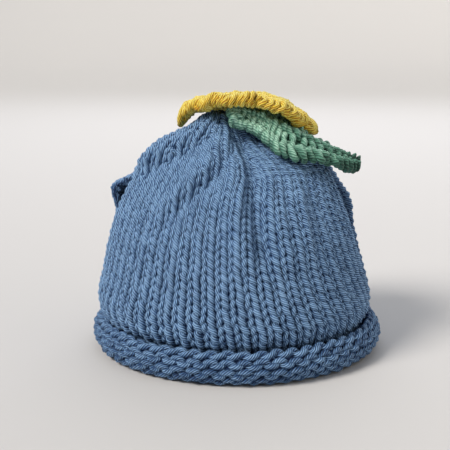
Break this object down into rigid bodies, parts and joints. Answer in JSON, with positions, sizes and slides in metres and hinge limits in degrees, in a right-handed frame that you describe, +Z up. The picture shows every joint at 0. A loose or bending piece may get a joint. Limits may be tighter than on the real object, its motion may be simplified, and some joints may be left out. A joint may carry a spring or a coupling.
{
  "type": "tea cosy",
  "caption": "Hand-knitted tea cosy with a rolled hem, gathered crown, side slits for handle and spout, and a crocheted flower and leaf on top.",
  "frame": {"origin": "on the surface the cosy stands on, at the middle of its rolled hem", "axes": "+Z up, -Y towards the front panel, +X towards the spout slit and -X towards the handle slit"},
  "size_m": [0.1284, 0.129, 0.1115],
  "materials": {
    "blue_yarn": "matte chunky yarn, stocking stitch",
    "yellow_yarn": "matte crocheted yarn",
    "green_yarn": "matte crocheted yarn"
  },
  "bodies": {
    "root": {"front_panel": "blue_yarn", "back_panel": "blue_yarn", "flower": "yellow_yarn", "leaf": "green_yarn"}
  },
  "joints": []
}
